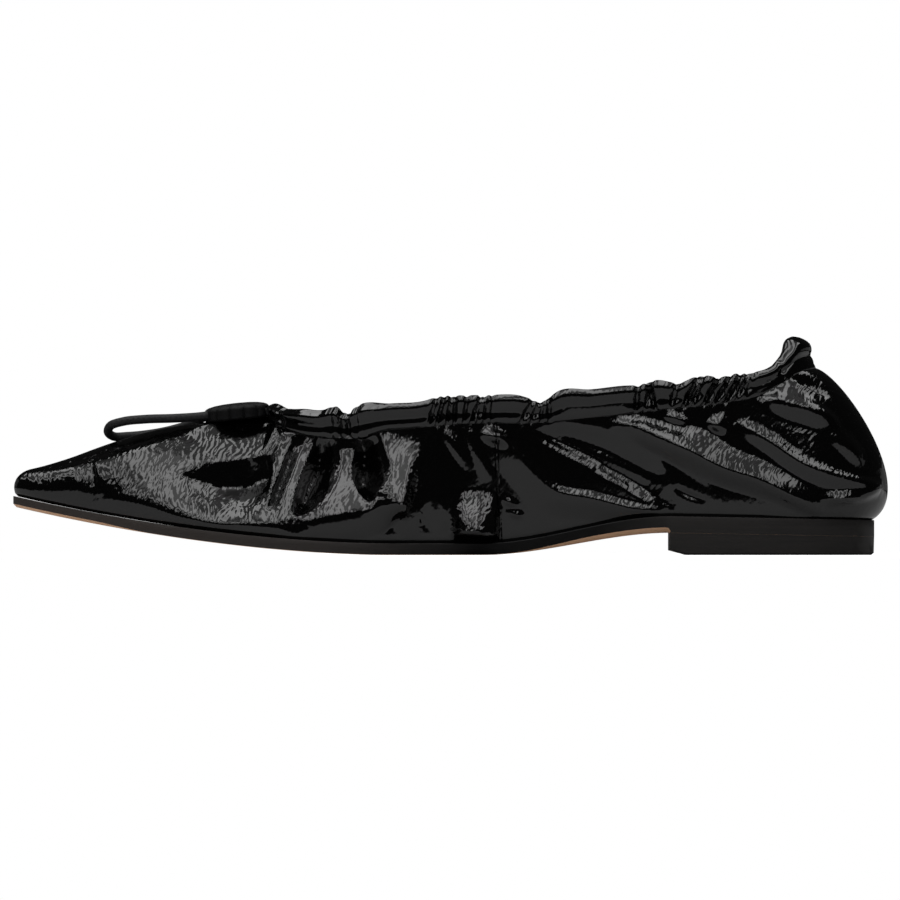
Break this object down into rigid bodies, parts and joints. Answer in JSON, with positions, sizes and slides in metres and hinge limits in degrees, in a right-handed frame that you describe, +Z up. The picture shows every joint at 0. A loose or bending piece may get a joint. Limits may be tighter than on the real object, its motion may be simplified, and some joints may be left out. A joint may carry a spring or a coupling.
{
  "type": "casual shoe",
  "caption": "Pointed ballet flat in crinkled black patent leather with a gathered elastic collar, a drawcord loop held by a scalloped cord stop, a thin sole and a low block heel.",
  "frame": {"origin": "on the floor under the middle of the shoe's box", "axes": "+X to the heel and -X to the toe, -Y to the outer side of the foot, +Z up"},
  "size_m": [0.265, 0.0774, 0.0658],
  "materials": {
    "sole": "black painted edge, natural tan underside",
    "heel": "black painted stacked leather, satin",
    "lining": "smooth matte lining leather",
    "patent": "high gloss crinkled patent",
    "stop": "matte moulded rubber",
    "cord": "round braided elastic"
  },
  "bodies": {
    "root": {"outsole": "sole", "heel": "heel", "insole": "lining", "upper": "patent", "cord_stop": "stop", "drawcord": "cord"}
  },
  "joints": []
}
